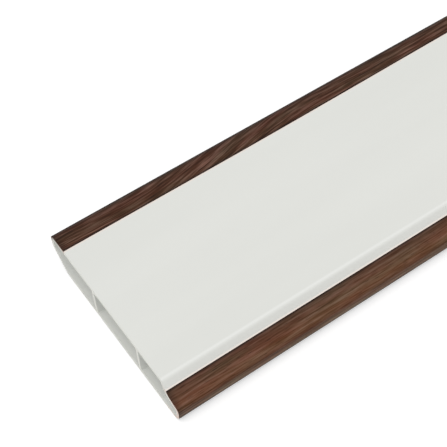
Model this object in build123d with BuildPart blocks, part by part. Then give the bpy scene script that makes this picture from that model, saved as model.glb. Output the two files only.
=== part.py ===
import os
from math import cos, radians, sin, tan

from build123d import *

# Overall sizes in mm. The board lies on its front, with its top edge toward +Y.
board_length = 2500.0
board_height = 80.0
board_depth = 15.5

# Walls of the extrusion and the film wrapped around it
film_thickness = 0.3
wall_thickness = 1.25
web_thickness = 1.4
web_joint_radius = 0.5

# The chambers lie this much nearer to the front, so the front wall is the thinner one
core_shift = 0.25

# Bevelled top edge of the front
bevel_height = 7.6
bevel_depth = 8.3
bevel_top_radius = 1.8
bevel_foot_radius = 5.0
top_back_radius = 2.6

# Rounded nose at the foot, and the rebate behind it
nose_depth = 6.9
nose_front_radius = 3.2
nose_back_radius = 1.6
lip_slope = 18.0
rebate_width = 8.1
rebate_slope = 70.0
rebate_radius = 4.0
fold_radius = 1.5

# Webs, measured from the top edge down to their middles
upper_web_drop = 28.2
lower_web_drop = 56.0

# The film's reach over the back from the top edge, and its end below the rebate's fold
film_lap = 9.3
film_end_drop = 4.1

# The outline that trims the film reaches this far past it
trim_margin = 1.0

# A corner this near to a web's face belongs to that web
corner_reach = 0.01

# Key points of the extrusion without its film
top_y = board_height / 2 - film_thickness
foot_y = -top_y
front_z = film_thickness
back_z = board_depth - film_thickness
middle_z = board_depth / 2

fold = (foot_y + rebate_width, back_z)
top_back = (top_y, back_z)
bevel_top = (top_y, front_z + bevel_depth)
bevel_foot = (top_y - bevel_height, front_z)
nose_front = (foot_y, front_z)
nose_back = (foot_y, front_z + nose_depth)

# The lip's back and the rebate's slope meet in a hollow curve
lip_rise = tan(radians(lip_slope))
rebate_rise = tan(radians(rebate_slope))
rise_to_fold = back_z - nose_back[1]
hollow_reach = (rebate_rise * rebate_width - rise_to_fold) / (rebate_rise - lip_rise)
hollow = (foot_y + hollow_reach, nose_back[1] + lip_rise * hollow_reach)

# The film ends square on the rebate's slope
film_end = (fold[0] - film_end_drop / rebate_rise, back_z - film_end_drop)
outward = (-sin(radians(rebate_slope)), cos(radians(rebate_slope)))
trim_reach = film_thickness + trim_margin
trim_outside = (film_end[0] + trim_reach * outward[0], film_end[1] + trim_reach * outward[1])
trim_inside = (film_end[0] - trim_margin * outward[0], film_end[1] - trim_margin * outward[1])

web_places = [
    (top_y - upper_web_drop, middle_z),
    (top_y - lower_web_drop, middle_z),
]

rounded_corners = [
    (fold, fold_radius),
    (top_back, top_back_radius),
    (bevel_top, bevel_top_radius),
    (bevel_foot, bevel_foot_radius),
    (nose_front, nose_front_radius),
    (nose_back, nose_back_radius),
    (hollow, rebate_radius),
]

with BuildSketch(Plane.YZ) as outline:
    with BuildLine():
        Polyline(
            fold, top_back, bevel_top, bevel_foot, nose_front, nose_back, hollow, close=True
        )
    make_face()
    for corner, radius in rounded_corners:
        fillet(outline.vertices().sort_by_distance(corner)[0], radius)

with BuildSketch(Plane.YZ) as core:
    add(outline.sketch_local)
    offset(amount=-wall_thickness, kind=Kind.ARC, mode=Mode.REPLACE)

with BuildSketch(Plane.YZ) as chambers:
    with Locations((0, -core_shift)):
        add(core.sketch_local)
    with Locations(*web_places):
        Rectangle(web_thickness, board_depth, mode=Mode.SUBTRACT)
    for web_y, _ in web_places:
        web_corners = [
            vertex
            for vertex in chambers.vertices()
            if abs(abs(vertex.X - web_y) - web_thickness / 2) < corner_reach
        ]
        fillet(web_corners, web_joint_radius)

with BuildPart() as hollow_profile:
    with BuildSketch(Plane.YZ):
        add(outline.sketch_local)
        add(chambers.sketch_local, mode=Mode.SUBTRACT)
    extrude(amount=board_length / 2, both=True)

with BuildPart() as woodgrain_film:
    with BuildSketch(Plane.YZ):
        add(outline.sketch_local)
        offset(amount=film_thickness, kind=Kind.ARC, mode=Mode.REPLACE)
        add(outline.sketch_local, mode=Mode.SUBTRACT)
        with BuildLine():
            Polyline(
                (top_y - film_lap, back_z - trim_margin),
                (top_y - film_lap, back_z + trim_reach),
                (trim_outside[0], back_z + trim_reach),
                trim_outside,
                trim_inside,
                close=True,
            )
        make_face(mode=Mode.SUBTRACT)
    extrude(amount=board_length / 2, both=True)

os.makedirs("parts", exist_ok=True)
hollow_profile.part.label = "hollow_profile"
woodgrain_film.part.label = "woodgrain_film"
export_step(hollow_profile.part, "parts/hollow_profile.step")
export_step(woodgrain_film.part, "parts/woodgrain_film.step")
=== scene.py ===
import math

import bpy
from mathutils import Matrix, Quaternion, Vector
from mathutils.bvhtree import BVHTree


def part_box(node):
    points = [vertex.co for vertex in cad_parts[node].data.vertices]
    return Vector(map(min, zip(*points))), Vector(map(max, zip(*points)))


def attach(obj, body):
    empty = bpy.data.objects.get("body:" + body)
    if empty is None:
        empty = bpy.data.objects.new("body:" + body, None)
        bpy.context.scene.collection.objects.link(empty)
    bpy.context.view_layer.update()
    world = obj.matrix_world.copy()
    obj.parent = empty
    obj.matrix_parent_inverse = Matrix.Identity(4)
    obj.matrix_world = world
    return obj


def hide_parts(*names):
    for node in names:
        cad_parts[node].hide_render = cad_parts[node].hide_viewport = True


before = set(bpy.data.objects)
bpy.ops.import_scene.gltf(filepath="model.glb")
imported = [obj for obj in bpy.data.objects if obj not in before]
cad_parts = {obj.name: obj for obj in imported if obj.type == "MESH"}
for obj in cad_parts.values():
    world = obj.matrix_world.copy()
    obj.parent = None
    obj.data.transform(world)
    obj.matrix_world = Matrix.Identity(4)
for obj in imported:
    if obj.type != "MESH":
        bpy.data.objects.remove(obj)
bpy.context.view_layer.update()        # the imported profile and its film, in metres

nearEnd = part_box("hollow_profile")[0].x      # the sawn end that faces the camera
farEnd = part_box("hollow_profile")[1].x
mm = 0.001
pvcIor = 1.53
noiseLow = 0.3               # a noise texture seldom leaves this range
noiseHigh = 0.7
smoothAngle = math.radians(25)       # sharper edges than this stay sharp


def linear(hexColour):
    # shaders take linear light, the colours below are picked in sRGB
    parts = [int(hexColour[i:i + 2], 16) / 255 for i in (1, 3, 5)]
    return [p / 12.92 if p <= 0.04045 else ((p + 0.055) / 1.055) ** 2.4 for p in parts] + [1.0]


def addNode(tree, kind, inputs=None, stops=None, **settings):
    # an input is a plain value, or a (node, output) pair that gets linked
    node = tree.nodes.new("ShaderNode" + kind)
    node.location = (len(tree.nodes) % 12 * 190, len(tree.nodes) // 12 * -320)
    for name, value in settings.items():
        setattr(node, name, value)
    for socket, value in (inputs or {}).items():
        if isinstance(value, tuple) and isinstance(value[0], bpy.types.Node):
            tree.links.new(value[0].outputs[value[1]], node.inputs[socket])
        else:
            node.inputs[socket].default_value = value
    for index, (position, hexColour) in enumerate(stops or []):
        ramp = node.color_ramp.elements
        stop = ramp[index] if index < 2 else ramp.new(position)
        stop.position = position
        stop.color = linear(hexColour)
    return node


def newMaterial(name):
    material = bpy.data.materials.new(name)
    material.use_nodes = True
    material.node_tree.nodes.clear()
    return material, material.node_tree


def seenAsWhite(tree):
    # 1 where the eye, a reflection or a view through glass meets the studio, and 0 for its light
    path = addNode(tree, "LightPath")
    mirrored = addNode(tree, "Math", {0: (path, "Is Camera Ray"), 1: (path, "Is Glossy Ray")},
                       operation="ADD")
    return addNode(tree, "Math", {0: (mirrored, "Value"), 1: (path, "Is Transmission Ray")},
                   operation="ADD", use_clamp=True)


def selectOnly(piece):
    bpy.ops.object.select_all(action="DESELECT")
    piece.select_set(True)
    bpy.context.view_layer.objects.active = piece


def copyOfNode(nodeName, pieceName):
    # a merged copy of the CAD mesh, which comes as loose triangles
    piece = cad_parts[nodeName].copy()
    piece.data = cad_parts[nodeName].data.copy()
    piece.name = piece.data.name = pieceName
    piece.data.materials.clear()
    bpy.context.collection.objects.link(piece)
    selectOnly(piece)
    bpy.ops.mesh.customdata_custom_splitnormals_clear()
    bpy.ops.object.mode_set(mode="EDIT")
    bpy.ops.mesh.select_all(action="SELECT")
    bpy.ops.mesh.remove_doubles(threshold=0.005 * mm)
    bpy.ops.mesh.dissolve_limited(angle_limit=math.radians(0.5))
    bpy.ops.object.mode_set(mode="OBJECT")
    return piece


def surfaceOf(nodeName):
    # for asking how far a point lies from a solid
    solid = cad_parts[nodeName].data
    return BVHTree.FromPolygons([v.co for v in solid.vertices], [p.vertices for p in solid.polygons])


def isSawn(face):
    # both cut ends stand square to the length
    return abs(face.normal.x) > 0.9


# the camera stands where the photograph's did
cameraSettings = {
    "position": (-1.32321, -0.19959, 0.33725),
    "aim": (-1.19915, 0.00752, 0.0155),
    "roll": -4.68,       # degrees
    "lens": 93.70,       # mm, on a 36 mm sensor
}
bpy.ops.object.select_all(action="DESELECT")
bpy.ops.object.camera_add(location=cameraSettings["position"])
camera = bpy.context.object
camera.name = "productCamera"
camera.data.lens = cameraSettings["lens"]
camera.data.clip_start = 0.01
sight = Vector(cameraSettings["aim"]) - camera.location
roll = Quaternion((0, 0, 1), math.radians(cameraSettings["roll"]))
camera.rotation_euler = (sight.to_track_quat("-Z", "Y") @ roll).to_euler()
bpy.context.scene.camera = camera
print("camera ready")

# floor, sky and lamp
studio = {
    "floorSize": 40.0,
    "floorGap": 0.2 * mm,      # keeps the floor clear of the film's face
    "floorColour": "#E9E9E9",
    "floorGlow": 0.38,         # lifts the floor to white and leaves the board's shadow on it
    "skyStrength": 0.88,
    "skySeen": 1.0,            # white
    "lampStrength": 0.97,
    "lampSpread": 50.0,        # degrees, as wide as a large softbox
    "lampPlace": (-2.0, -1.0, 4.6),
}
bpy.ops.mesh.primitive_plane_add(size=studio["floorSize"], location=(0, 0, -studio["floorGap"]))
floor = bpy.context.object
floor.name = "studioFloor"
floorPaint, floorTree = newMaterial("Matt painted studio floor")      # pale grey, white to the eye
glow = addNode(floorTree, "Math", {0: (seenAsWhite(floorTree), "Value"), 1: studio["floorGlow"]},
               operation="MULTIPLY")
matt = addNode(floorTree, "BsdfDiffuse", {"Color": linear(studio["floorColour"])})
lift = addNode(floorTree, "Emission", {"Strength": (glow, "Value")})
litFloor = addNode(floorTree, "AddShader", {0: (matt, "BSDF"), 1: (lift, "Emission")})
addNode(floorTree, "OutputMaterial", {"Surface": (litFloor, "Shader")})
floor.data.materials.append(floorPaint)

world = bpy.data.worlds.new("Soft white studio")
bpy.context.scene.world = world
world.use_nodes = True
skyTree = world.node_tree
skyTree.nodes.clear()
skyLevel = addNode(skyTree, "MapRange", {
    "Value": (seenAsWhite(skyTree), "Value"),
    "To Min": studio["skyStrength"],
    "To Max": studio["skySeen"],
})
sky = addNode(skyTree, "Background", {"Strength": (skyLevel, "Result")})
addNode(skyTree, "OutputWorld", {"Surface": (sky, "Background")})

bpy.ops.object.light_add(type="SUN", location=studio["lampPlace"])
lamp = bpy.context.object
lamp.name = "softLamp"
lamp.data.energy = studio["lampStrength"]
lamp.data.angle = math.radians(studio["lampSpread"])
lamp.rotation_euler = (-lamp.location).to_track_quat("-Z", "Y").to_euler()
bpy.context.scene.view_settings.view_transform = "Standard"
print("studio ready")

# the hollow profile
profileLook = {
    "plasticTones": ("#E1E2DD", "#E3E4DF"),
    "mottle": (9, 60, 60),       # patches a metre, some 110 mm long and 17 mm wide
    "dieLines": (1.2, 1400, 1400),       # lines a metre, 0.7 mm apart, coarser than real ones
    "dieRoughness": (0.295, 0.325),      # a wider range would draw the lines over the whole back
    "dieDepth": 0.02 * mm,
    "edgeRound": 0.15 * mm,      # how far the light on a face turns over toward a sharp edge
    "fold": -30.9 * mm,          # where the back folds down into the rebate, in Y
    "foldHighlightReach": 0.8 * mm,       # how far to each side of the fold the painted highlight reaches
    # the painted highlight's lighter tone along the fold
    "foldHighlightTone": "#E9EAE6",
    # the saw cut's tones, raised partly as painted light on the end face
    "sawnTones": ("#DDDDD5", "#E9E9E1"),
    "sawnRoughness": 0.68,
    "sawSlant": 14,              # degrees
    "scores": (1, 1500, 120),    # marks a metre, 0.7 mm apart and 8 mm long
    "dust": 900.0,               # specks a metre
    "scoreDepth": 0.08 * mm,
    # what the saw drags off the film, by place from the nose at 0 to the top edge at 1
    "smear": [(0.0, "#DDBAAB"), (0.88, "#D3B0A0"), (0.97, "#5E4E43")],
    "smearSpan": (-38 * mm, 38 * mm),        # those places 0 and 1, in Y
    "smearAtLap": (29.8 * mm, 30.6 * mm),    # it sets in between these, in Y
    "smearAtBack": (11.6 * mm, 13.6 * mm),   # and there also between these, in Z
    "smearAtNose": (-31.5 * mm, -33.0 * mm),     # and behind the nose between these, in Y
    "smearFade": 1.3,            # above 1 it keeps closer to the film
    "smearPatchy": (0.6, 1.0),
}
profile = copyOfNode("hollow_profile", "hollowProfile")

# marks the outline under the film, so that the smear fades out across the wall
filmSurface = surfaceOf("woodgrain_film")
nearFilm = profile.data.attributes.new("nearFilm", "FLOAT", "POINT")
for vertex in profile.data.vertices:
    nearFilm.data[vertex.index].value = filmSurface.find_nearest(vertex.co)[3] < 0.02 * mm

# satin and almost white, with the faint long lines that the die leaves, which only show in the gloss,
# and a painted highlight, a lighter tone along the fold into the rebate
extruded, extrudedTree = newMaterial("Rigid PVC, as extruded")
backPlace = addNode(extrudedTree, "TexCoord")
alongDie = addNode(extrudedTree, "Mapping", {"Vector": (backPlace, "Object"),
                                             "Scale": profileLook["dieLines"]})
dieLines = addNode(extrudedTree, "TexNoise", {"Vector": (alongDie, "Vector"), "Scale": 1.0, "Detail": 2.0})
clouds = addNode(extrudedTree, "Mapping", {"Vector": (backPlace, "Object"),
                                           "Scale": profileLook["mottle"]})
mottle = addNode(extrudedTree, "TexNoise", {"Vector": (clouds, "Vector"), "Scale": 1.0, "Detail": 2.0})
mottled = addNode(extrudedTree, "ValToRGB", {"Fac": (mottle, "Fac")}, stops=[
    (0.35, profileLook["plasticTones"][0]), (0.65, profileLook["plasticTones"][1]),
])
backAxes = addNode(extrudedTree, "SeparateXYZ", {"Vector": (backPlace, "Object")})
# a painted highlight: the fold's lighter tone is mixed into the white near the fold
fromFold = addNode(extrudedTree, "Math", {0: (backAxes, "Y"), 1: profileLook["fold"]}, operation="SUBTRACT")
offFold = addNode(extrudedTree, "Math", {0: (fromFold, "Value")}, operation="ABSOLUTE")
foldHighlightShare = addNode(extrudedTree, "MapRange", {"Value": (offFold, "Value"),
                                            "From Max": profileLook["foldHighlightReach"],
                                            "To Min": 1.0, "To Max": 0.0},
                 interpolation_type="SMOOTHSTEP")
white = addNode(extrudedTree, "Mix", {0: (foldHighlightShare, "Result"), 6: (mottled, "Color"),
                                      7: linear(profileLook["foldHighlightTone"])}, data_type="RGBA")
dieGloss = addNode(extrudedTree, "MapRange", {
    "Value": (dieLines, "Fac"), "From Min": noiseLow, "From Max": noiseHigh,
    "To Min": profileLook["dieRoughness"][0], "To Max": profileLook["dieRoughness"][1],
})
softFace = addNode(extrudedTree, "Bevel", {"Radius": profileLook["edgeRound"]}, samples=4)
drawn = addNode(extrudedTree, "Bump", {"Height": (dieLines, "Fac"), "Normal": (softFace, "Normal"),
                                       "Strength": 0.25, "Distance": profileLook["dieDepth"]})
extrudedPlastic = addNode(extrudedTree, "BsdfPrincipled", {
    "Base Color": (white, 2), "Roughness": (dieGloss, "Result"), "IOR": pvcIor,
    "Normal": (drawn, "Normal"),
})
addNode(extrudedTree, "OutputMaterial", {"Surface": (extrudedPlastic, "BSDF")})

# duller than the extruded face, with the fine slanting scores of the saw and a dusty unevenness
sawn, sawnTree = newMaterial("Rigid PVC, saw cut")
cutPlace = addNode(sawnTree, "TexCoord")
slant = addNode(sawnTree, "Mapping", {"Vector": (cutPlace, "Object"),
                                      "Rotation": (math.radians(profileLook["sawSlant"]), 0, 0)})
acrossCut = addNode(sawnTree, "Mapping", {"Vector": (slant, "Vector"), "Scale": profileLook["scores"]})
scores = addNode(sawnTree, "TexNoise", {"Vector": (acrossCut, "Vector"), "Scale": 1.0, "Detail": 2.0})
dust = addNode(sawnTree, "TexNoise", {"Vector": (cutPlace, "Object"), "Scale": profileLook["dust"],
                                      "Detail": 3.0})
worn = addNode(sawnTree, "Math", {0: (scores, "Fac"), 1: (dust, "Fac")}, operation="MULTIPLY")
# the saw cut's chalky tones, partly painted light that brightens the end face
chalkyAndPaintedLight = addNode(sawnTree, "ValToRGB", {"Fac": (worn, "Value")}, stops=[
    (0.12, profileLook["sawnTones"][0]), (0.38, profileLook["sawnTones"][1]),
])
cutAxes = addNode(sawnTree, "SeparateXYZ", {"Vector": (cutPlace, "Object")})
besideLap = addNode(sawnTree, "MapRange", {"Value": (cutAxes, "Y"),
                                           "From Min": profileLook["smearAtLap"][0],
                                           "From Max": profileLook["smearAtLap"][1]})
nearBack = addNode(sawnTree, "MapRange", {"Value": (cutAxes, "Z"),
                                          "From Min": profileLook["smearAtBack"][0],
                                          "From Max": profileLook["smearAtBack"][1]})
underLap = addNode(sawnTree, "Math", {0: (besideLap, "Result"), 1: (nearBack, "Result")},
                   operation="MULTIPLY")
behindNose = addNode(sawnTree, "MapRange", {"Value": (cutAxes, "Y"),
                                            "From Min": profileLook["smearAtNose"][0],
                                            "From Max": profileLook["smearAtNose"][1]})
reached = addNode(sawnTree, "Math", {0: (underLap, "Value"), 1: (behindNose, "Result")},
                  operation="MAXIMUM")
mark = addNode(sawnTree, "Attribute", attribute_name="nearFilm")
fading = addNode(sawnTree, "Math", {0: (mark, "Fac"), 1: profileLook["smearFade"]}, operation="POWER")
patchy = addNode(sawnTree, "MapRange", {"Value": (dust, "Fac"), "From Min": 0.35, "From Max": 0.6,
                                        "To Min": profileLook["smearPatchy"][0],
                                        "To Max": profileLook["smearPatchy"][1]})
smeared = addNode(sawnTree, "Math", {0: (fading, "Value"), 1: (reached, "Value")}, operation="MULTIPLY")
smearShare = addNode(sawnTree, "Math", {0: (smeared, "Value"), 1: (patchy, "Result")},
                     operation="MULTIPLY")
fromNose = addNode(sawnTree, "MapRange", {"Value": (cutAxes, "Y"),
                                          "From Min": profileLook["smearSpan"][0],
                                          "From Max": profileLook["smearSpan"][1]})
smear = addNode(sawnTree, "ValToRGB", {"Fac": (fromNose, "Result")}, stops=profileLook["smear"])
stained = addNode(sawnTree, "Mix", {0: (smearShare, "Value"), 6: (chalkyAndPaintedLight, "Color"),
                                    7: (smear, "Color")}, data_type="RGBA")
softCut = addNode(sawnTree, "Bevel", {"Radius": profileLook["edgeRound"]}, samples=4)
scored = addNode(sawnTree, "Bump", {"Height": (worn, "Value"), "Normal": (softCut, "Normal"),
                                    "Strength": 0.35, "Distance": profileLook["scoreDepth"]})
sawnPlastic = addNode(sawnTree, "BsdfPrincipled", {
    "Base Color": (stained, 2), "Roughness": profileLook["sawnRoughness"], "IOR": pvcIor,
    "Normal": (scored, "Normal"),
})
addNode(sawnTree, "OutputMaterial", {"Surface": (sawnPlastic, "BSDF")})

for finish in (extruded, sawn):
    profile.data.materials.append(finish)
for face in profile.data.polygons:
    face.material_index = 1 if isSawn(face) else 0
selectOnly(profile)
bpy.ops.object.shade_smooth_by_angle(angle=smoothAngle)
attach(profile, "root")
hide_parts("hollow_profile")
print("hollow profile ready:", len(profile.data.polygons), "faces")

# the printed film, its shape
filmShape = {
    "thickness": 0.3 * mm,
    "lapLevel": 15.1 * mm,       # only the lap lies higher than this
    "rebateFrom": -32 * mm,      # the foot's end lies beyond this, in Y
    "edgeBand": 0.05 * mm,       # points this near to a slit edge belong to it
    "ringSpacing": 25 * mm,      # edge loops across the film, so that its lap can wander
    "wanderStart": 55 * mm,      # the lap runs straight from the near end to here
    "wanderLength": 350 * mm,
    "wanderWidth": 1.45 * mm,
    "lapTrim": 0.05 * mm,
    "glueFoot": 0.30 * mm,       # how far the pale glue runs out from under both slit edges
    "rebateSlope": 70,           # degrees
    "cornerRadius": 2.9 * mm,    # of the film round the top edge at the back
    "cornerFill": 0.20 * mm,     # how far the film stands out of that round at its middle
}
film = copyOfNode("woodgrain_film", "walnutFilm")
profileSurface = surfaceOf("hollow_profile")


def isPrinted(point):
    # the film's printed side stands clear of the profile
    return profileSurface.find_nearest(point)[3] > filmShape["thickness"] / 2


def girthOfSection(mesh):
    # walks round the near end from the lap's edge, and measures the way to every printed point
    onEnd = {v.index for v in mesh.vertices if v.co.x < nearEnd + 0.01 * mm and isPrinted(v.co)}
    nextTo = {index: [] for index in onEnd}
    for edge in mesh.edges:
        if set(edge.vertices) <= onEnd:
            nextTo[edge.vertices[0]].append(edge.vertices[1])
            nextTo[edge.vertices[1]].append(edge.vertices[0])
    here = max(onEnd, key=lambda i: (round(mesh.vertices[i].co.z, 6), -mesh.vertices[i].co.y))
    girth = {here: 0.0}
    while True:
        onward = [i for i in nextTo[here] if i not in girth]
        if not onward:
            break
        step = (mesh.vertices[onward[0]].co - mesh.vertices[here].co).length
        girth[onward[0]] = girth[here] + step
        here = onward[0]
    return [(mesh.vertices[i].co.yz, travelled) for i, travelled in girth.items()]


section = girthOfSection(film.data)
filmGirth = section[-1][1]
girthMm = filmGirth * 1000

# the print is laid on flat, as it was printed: metres along the board and round its section
unrolled = film.data.uv_layers.new(name="unrolled")
for loop in film.data.loops:
    point = film.data.vertices[loop.vertex_index].co
    nearest = min(section, key=lambda onSection: (onSection[0] - point.yz).length)
    unrolled.data[loop.index].uv = (point.x - nearEnd, nearest[1])

# printed side 0, slit edges and underside 1, sawn ends 2, set before the loops are cut across
for face in film.data.polygons:
    if isSawn(face):
        face.material_index = 2
    elif all(isPrinted(film.data.vertices[i].co) for i in face.vertices):
        face.material_index = 0
    else:
        face.material_index = 1

selectOnly(film)
bpy.ops.object.mode_set(mode="EDIT")
for ring in range(1, int((farEnd - nearEnd) / filmShape["ringSpacing"])):
    ringPlace = (nearEnd + ring * filmShape["ringSpacing"], 0, 0)
    bpy.ops.mesh.select_all(action="SELECT")
    bpy.ops.mesh.bisect(plane_co=ringPlace, plane_no=(1, 0, 0))
bpy.ops.object.mode_set(mode="OBJECT")

# the lap's edge wanders, and the glue under it runs out a little way over the back
lapEdge = min(v.co.y for v in film.data.vertices if v.co.z > filmShape["lapLevel"])
for vertex in film.data.vertices:
    if vertex.co.z > filmShape["lapLevel"] and vertex.co.y < lapEdge + filmShape["edgeBand"]:
        wandering = max(0.0, vertex.co.x - nearEnd - filmShape["wanderStart"])
        turn = 2 * math.pi * wandering / filmShape["wanderLength"]
        vertex.co.y += filmShape["lapTrim"] + filmShape["wanderWidth"] * (1 - math.cos(turn)) / 2
        if not isPrinted(vertex.co):
            vertex.co.y -= filmShape["glueFoot"]

# at the foot's end the glue runs up the rebate's slope
innerFoot = [v for v in film.data.vertices if v.co.y < filmShape["rebateFrom"] and not isPrinted(v.co)]
footEnd = max(v.co.z for v in innerFoot)
slope = math.radians(filmShape["rebateSlope"])
for vertex in innerFoot:
    if vertex.co.z > footEnd - filmShape["edgeBand"]:
        vertex.co += filmShape["glueFoot"] * Vector((0, math.cos(slope), math.sin(slope)))

# the top edge at the back is turned tighter than the solids have it, and stays inside their box
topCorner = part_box("woodgrain_film")[1].yz
cornerCentre = topCorner - Vector((filmShape["cornerRadius"], filmShape["cornerRadius"]))
for vertex in film.data.vertices:
    outward = vertex.co.yz - cornerCentre
    if min(outward) > 0 and isPrinted(vertex.co):
        outward.normalize()
        fill = filmShape["cornerFill"] * (2 * outward.x * outward.y) ** 2
        vertex.co += fill * Vector((0, outward.x, outward.y))
print("film shaped:", round(girthMm, 1), "mm round")

# the film's print and its finishes, lengths in mm along the board and round the section
filmLook = {
    "glueEdge": "#F0E5DD",
    "glueIor": 1.48,
    "glueBeads": (500, 2000, 1),     # beads a metre, 2 mm long and 0.5 mm wide
    "roughness": (0.49, 0.61),
    "specular": 0.12,
    "sawnRoughness": 0.7,
    # each size is the length and width of a pattern's marks
    "sweepSize": (75, 26),
    "rippleSize": (24, 3),
    "patchSize": (26, 3.5),
    "streakSize": (50, 1.0),
    "fibreSize": (9, 0.5),           # coarser than real fibres, which would not show
    "poreSize": (4, 0.2),            # a little coarser than real pores
    # each pick chooses the stretch of its pattern that the print shows
    "sweepPick": (0.2, 0.0, 1.2),
    "ripplePick": (0.0, 0.0, 0.0),
    "streakPick": (0.0, 0.0, 0.0),
    "fibrePick": (0.0, 0.0, 3.3),
    "porePick": (0.0, 0.0, 7.1),
    "sweep": 8.5,                # how far the grain sweeps to each side on the front
    "ripple": 0.22,
    "lapSweep": (26.0, 116.0, -11.0),    # on the lap, where it begins and ends, and its height
    "sweepGrows": (10.0, 26.0, 0.25),    # between these round the section, from this share of the sweep
    "lapSweepFades": (12.0, 30.0),
    "sweepCalms": (80.0, 97.0, 0.05),    # toward the foot, down to this share
    "streaks": (0.62, 1.38),     # darkest and lightest share of the tone
    "fibres": (0.50, 1.52),
    "contrast": (1.45, 0.70),    # on the front and at the foot
    "contrastTurns": (97.0, 104.5),
    "slitLine": (0.45, 1.2, 0.36),       # the dark line along both slit edges, its width and share
    "sawLine": (0.4, 2.6, 0.62),         # and along the sawn end
    "pores": (0.62, 0.72, 0.45),     # noise level where they set in and are full, and their share
    "poreDepth": 0.03 * mm,
    "lean": ("#FFE9E5", "#EFFBF3"),
    "saturation": (1.15, 0.84),      # in the darkest and the lightest streaks
    # broad tones of the print and painted shade, from the lap's edge round the front, mm along the girth
    # and colour
    "frontTones": [
        # the dark stop at 9 mm is painted shade, where the film turns over the top edge at the back
        (0.0, "#553A2B"), (6.5, "#4E3427"), (9.0, "#221815"), (11.0, "#4A2F22"),
        (48.0, "#66452F"), (62.0, "#503424"), (78.0, "#5F402B"), (90.0, "#54372A"),
    ],
    # and on over the nose, mm back from the foot's end
    "footTones": [
        # the dark stop at 13.5 mm is painted shade, where the nose turns under toward the floor
        (13.5, "#383230"), (11.0, "#69523F"), (8.7, "#573A28"), (6.5, "#6A4A36"), (0.0, "#583E32"),
    ],
    # the sawn film: brown ink at the lap, its pale body round the front and palest at the nose
    "sawnTones": [(10.0, "#5E4436"), (20.0, "#C8C3BA"), (96.5, "#CFCBC2"), (103.0, "#F1E7E0")],
}


def scaleFor(size):
    # noise cells of one unit become marks of this length and width
    return (1 / size[0], 1 / size[1], 1)


# matt brown with fine long streaks, dark along both slit edges, and pores pressed into it
printed, printTree = newMaterial("PVC film, gravure-printed walnut")
flatPrint = addNode(printTree, "UVMap", uv_map="unrolled")
inMm = addNode(printTree, "Mapping", {"Vector": (flatPrint, "UV"), "Scale": (1000, 1000, 1000)})
printAxes = addNode(printTree, "SeparateXYZ", {"Vector": (inMm, "Vector")})

# the grain sweeps aside widely on the front, once on the lap, and hardly at the foot
sweepPlace = addNode(printTree, "Mapping", {"Vector": (inMm, "Vector"),
                                            "Scale": scaleFor(filmLook["sweepSize"]),
                                            "Location": filmLook["sweepPick"]})
sweep = addNode(printTree, "TexNoise", {"Vector": (sweepPlace, "Vector"), "Scale": 1.0, "Detail": 0.0})
sweepMm = addNode(printTree, "Math", {0: (sweep, "Fac"), 1: 2 * filmLook["sweep"], 2: -filmLook["sweep"]},
                  operation="MULTIPLY_ADD")
onFront = addNode(printTree, "MapRange", {"Value": (printAxes, "Y"),
                                          "From Min": filmLook["sweepGrows"][0],
                                          "From Max": filmLook["sweepGrows"][1],
                                          "To Min": filmLook["sweepGrows"][2], "To Max": 1.0})
frontSweep = addNode(printTree, "Math", {0: (sweepMm, "Value"), 1: (onFront, "Result")},
                     operation="MULTIPLY")
rise = addNode(printTree, "MapRange", {"Value": (printAxes, "X"), "From Min": filmLook["lapSweep"][0],
                                       "From Max": filmLook["lapSweep"][1],
                                       "To Min": 0.0, "To Max": filmLook["lapSweep"][2]},
               interpolation_type="SMOOTHSTEP")
onLap = addNode(printTree, "MapRange", {"Value": (printAxes, "Y"),
                                        "From Min": filmLook["lapSweepFades"][0],
                                        "From Max": filmLook["lapSweepFades"][1],
                                        "To Min": 1.0, "To Max": 0.0})
bothSweeps = addNode(printTree, "Math", {0: (rise, "Result"), 1: (onLap, "Result"),
                                         2: (frontSweep, "Value")}, operation="MULTIPLY_ADD")
calm = addNode(printTree, "MapRange", {"Value": (printAxes, "Y"), "From Min": filmLook["sweepCalms"][0],
                                       "From Max": filmLook["sweepCalms"][1],
                                       "To Min": 1.0, "To Max": filmLook["sweepCalms"][2]})
swept = addNode(printTree, "Math", {0: (bothSweeps, "Value"), 1: (calm, "Result")}, operation="MULTIPLY")
ripplePlace = addNode(printTree, "Mapping", {"Vector": (inMm, "Vector"),
                                             "Scale": scaleFor(filmLook["rippleSize"]),
                                             "Location": filmLook["ripplePick"]})
ripple = addNode(printTree, "TexNoise", {"Vector": (ripplePlace, "Vector"), "Scale": 1.0, "Detail": 2.0})
rippleMm = addNode(printTree, "Math", {0: (ripple, "Fac"), 1: 2 * filmLook["ripple"],
                                       2: -filmLook["ripple"]}, operation="MULTIPLY_ADD")
bent = addNode(printTree, "Math", {0: (swept, "Value"), 1: (rippleMm, "Value")}, operation="ADD")
aside = addNode(printTree, "CombineXYZ", {"Y": (bent, "Value")})
grain = addNode(printTree, "VectorMath", {0: (inMm, "Vector"), 1: (aside, "Vector")}, operation="ADD")

# broad tones run along the board and only ripple
tonePlace = addNode(printTree, "Math", {0: (printAxes, "Y"), 1: (rippleMm, "Value")}, operation="ADD")
toneShare = addNode(printTree, "Math", {0: (tonePlace, "Value"), 1: girthMm}, operation="DIVIDE")
tones = filmLook["frontTones"] + [(girthMm - back, colour) for back, colour in filmLook["footTones"]]
# besides the print, these tones carry painted shade at the top edge and under the nose
tone = addNode(printTree, "ValToRGB", {"Fac": (toneShare, "Value")}, stops=[
    (alongGirth / girthMm, colour) for alongGirth, colour in tones
])

# patches that lean to red and to grey
patches = addNode(printTree, "Mapping", {"Vector": (grain, "Vector"),
                                         "Scale": scaleFor(filmLook["patchSize"])})
lean = addNode(printTree, "TexNoise", {"Vector": (patches, "Vector"), "Scale": 1.0, "Detail": 1.0})
tint = addNode(printTree, "ValToRGB", {"Fac": (lean, "Fac")}, stops=[
    (0.32, filmLook["lean"][0]), (0.68, filmLook["lean"][1]),
])
tinted = addNode(printTree, "VectorMath", {0: (tone, "Color"), 1: (tint, "Color")}, operation="MULTIPLY")

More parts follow.
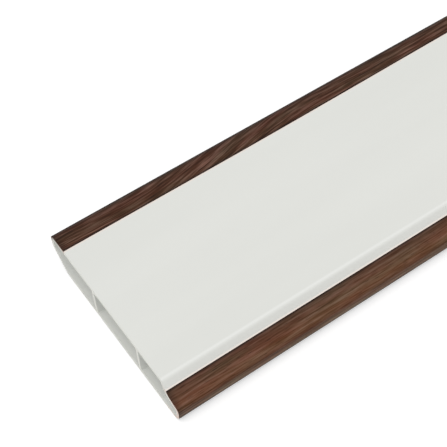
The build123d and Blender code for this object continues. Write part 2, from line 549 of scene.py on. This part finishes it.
# long streaks, short fibres between them, and dark lines along the slit edges and the sawn end
streakPlace = addNode(printTree, "Mapping", {"Vector": (grain, "Vector"),
                                             "Scale": scaleFor(filmLook["streakSize"]),
                                             "Location": filmLook["streakPick"]})
streaks = addNode(printTree, "TexNoise", {"Vector": (streakPlace, "Vector"), "Scale": 1.0, "Detail": 3.0})
streakShade = addNode(printTree, "MapRange", {"Value": (streaks, "Fac"),
                                              "From Min": noiseLow, "From Max": noiseHigh,
                                              "To Min": filmLook["streaks"][0],
                                              "To Max": filmLook["streaks"][1]})
fibrePlace = addNode(printTree, "Mapping", {"Vector": (grain, "Vector"),
                                            "Scale": scaleFor(filmLook["fibreSize"]),
                                            "Location": filmLook["fibrePick"]})
fibres = addNode(printTree, "TexNoise", {"Vector": (fibrePlace, "Vector"), "Scale": 1.0, "Detail": 2.0})
fibreShade = addNode(printTree, "MapRange", {"Value": (fibres, "Fac"),
                                             "From Min": noiseLow, "From Max": noiseHigh,
                                             "To Min": filmLook["fibres"][0],
                                             "To Max": filmLook["fibres"][1]})
backFromFoot = addNode(printTree, "Math", {0: girthMm, 1: (printAxes, "Y")}, operation="SUBTRACT")
fromEdge = addNode(printTree, "Math", {0: (printAxes, "Y"), 1: (backFromFoot, "Value")},
                   operation="MINIMUM")
edgeShade = addNode(printTree, "MapRange", {"Value": (fromEdge, "Value"),
                                            "From Min": filmLook["slitLine"][0],
                                            "From Max": filmLook["slitLine"][1],
                                            "To Min": filmLook["slitLine"][2], "To Max": 1.0})
endShade = addNode(printTree, "MapRange", {"Value": (printAxes, "X"),
                                           "From Min": filmLook["sawLine"][0],
                                           "From Max": filmLook["sawLine"][1],
                                           "To Min": filmLook["sawLine"][2], "To Max": 1.0})

# pores are short dark dashes
porePlace = addNode(printTree, "Mapping", {"Vector": (grain, "Vector"),
                                           "Scale": scaleFor(filmLook["poreSize"]),
                                           "Location": filmLook["porePick"]})
poreNoise = addNode(printTree, "TexNoise", {"Vector": (porePlace, "Vector"), "Scale": 1.0, "Detail": 1.0})
pores = addNode(printTree, "MapRange", {"Value": (poreNoise, "Fac"), "From Min": filmLook["pores"][0],
                                        "From Max": filmLook["pores"][1],
                                        "To Min": 1.0, "To Max": filmLook["pores"][2]})
mixedShade = addNode(printTree, "Math", {0: (streakShade, "Result"), 1: (fibreShade, "Result")},
                     operation="MULTIPLY")
contrast = addNode(printTree, "MapRange", {"Value": (printAxes, "Y"),
                                           "From Min": filmLook["contrastTurns"][0],
                                           "From Max": filmLook["contrastTurns"][1],
                                           "To Min": filmLook["contrast"][0],
                                           "To Max": filmLook["contrast"][1]})
shade = addNode(printTree, "Math", {0: (mixedShade, "Value"), 1: (contrast, "Result")}, operation="POWER")
shadeAtEdge = addNode(printTree, "Math", {0: (shade, "Value"), 1: (edgeShade, "Result")},
                      operation="MULTIPLY")
shadeAtEnd = addNode(printTree, "Math", {0: (shadeAtEdge, "Value"), 1: (endShade, "Result")},
                     operation="MULTIPLY")
shadeInPores = addNode(printTree, "Math", {0: (shadeAtEnd, "Value"), 1: (pores, "Result")},
                       operation="MULTIPLY")
grained = addNode(printTree, "VectorMath", {0: (tinted, "Vector"), "Scale": (shadeInPores, "Value")},
                  operation="SCALE")

# dark streaks hold more ink, so they are richer in colour than the pale ones
saturation = addNode(printTree, "MapRange", {"Value": (shade, "Value"), "From Min": 0.6, "From Max": 1.5,
                                             "To Min": filmLook["saturation"][0],
                                             "To Max": filmLook["saturation"][1]})
inked = addNode(printTree, "HueSaturation", {"Color": (grained, "Vector"),
                                             "Saturation": (saturation, "Result")})
printGloss = addNode(printTree, "MapRange", {"Value": (fibres, "Fac"),
                                             "From Min": noiseLow, "From Max": noiseHigh,
                                             "To Min": filmLook["roughness"][0],
                                             "To Max": filmLook["roughness"][1]})
pressed = addNode(printTree, "Bump", {"Height": (pores, "Result"), "Strength": 0.3,
                                      "Distance": filmLook["poreDepth"]})
printedFilm = addNode(printTree, "BsdfPrincipled", {
    "Base Color": (inked, "Color"), "Roughness": (printGloss, "Result"), "IOR": pvcIor,
    "Specular IOR Level": filmLook["specular"], "Normal": (pressed, "Normal"),
})
addNode(printTree, "OutputMaterial", {"Surface": (printedFilm, "BSDF")})

# a pale cream line along both slit edges, beaded where the glue has run out
slit, slitTree = newMaterial("Hot-melt glue at the slit edges")
flatSlit = addNode(slitTree, "UVMap", uv_map="unrolled")
alongSlit = addNode(slitTree, "Mapping", {"Vector": (flatSlit, "UV"), "Scale": filmLook["glueBeads"]})
beads = addNode(slitTree, "TexNoise", {"Vector": (alongSlit, "Vector"), "Scale": 1.0, "Detail": 2.0})
raised = addNode(slitTree, "Bump", {"Height": (beads, "Fac"), "Strength": 0.3, "Distance": 0.1 * mm})
glue = addNode(slitTree, "BsdfPrincipled", {
    "Base Color": linear(filmLook["glueEdge"]), "Roughness": 0.5, "IOR": filmLook["glueIor"],
    "Normal": (raised, "Normal"),
})
addNode(slitTree, "OutputMaterial", {"Surface": (glue, "BSDF")})

# matt, brown at the lap where the saw has dragged ink over it, elsewhere the film's own pale body
sawnFilm, sawnFilmTree = newMaterial("PVC film, saw cut")
flatCut = addNode(sawnFilmTree, "UVMap", uv_map="unrolled")
sawnAxes = addNode(sawnFilmTree, "SeparateXYZ", {"Vector": (flatCut, "UV")})
cutShare = addNode(sawnFilmTree, "Math", {0: (sawnAxes, "Y"), 1: filmGirth}, operation="DIVIDE")
body = addNode(sawnFilmTree, "ValToRGB", {"Fac": (cutShare, "Value")}, stops=[
    (alongGirth / girthMm, colour) for alongGirth, colour in filmLook["sawnTones"]
])
cutFilm = addNode(sawnFilmTree, "BsdfPrincipled", {
    "Base Color": (body, "Color"), "Roughness": filmLook["sawnRoughness"], "IOR": pvcIor,
})
addNode(sawnFilmTree, "OutputMaterial", {"Surface": (cutFilm, "BSDF")})

for finish in (printed, slit, sawnFilm):
    film.data.materials.append(finish)
selectOnly(film)
bpy.ops.object.shade_smooth_by_angle(angle=smoothAngle)
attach(film, "root")
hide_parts("woodgrain_film")
print("film ready:", len(film.data.polygons), "faces")
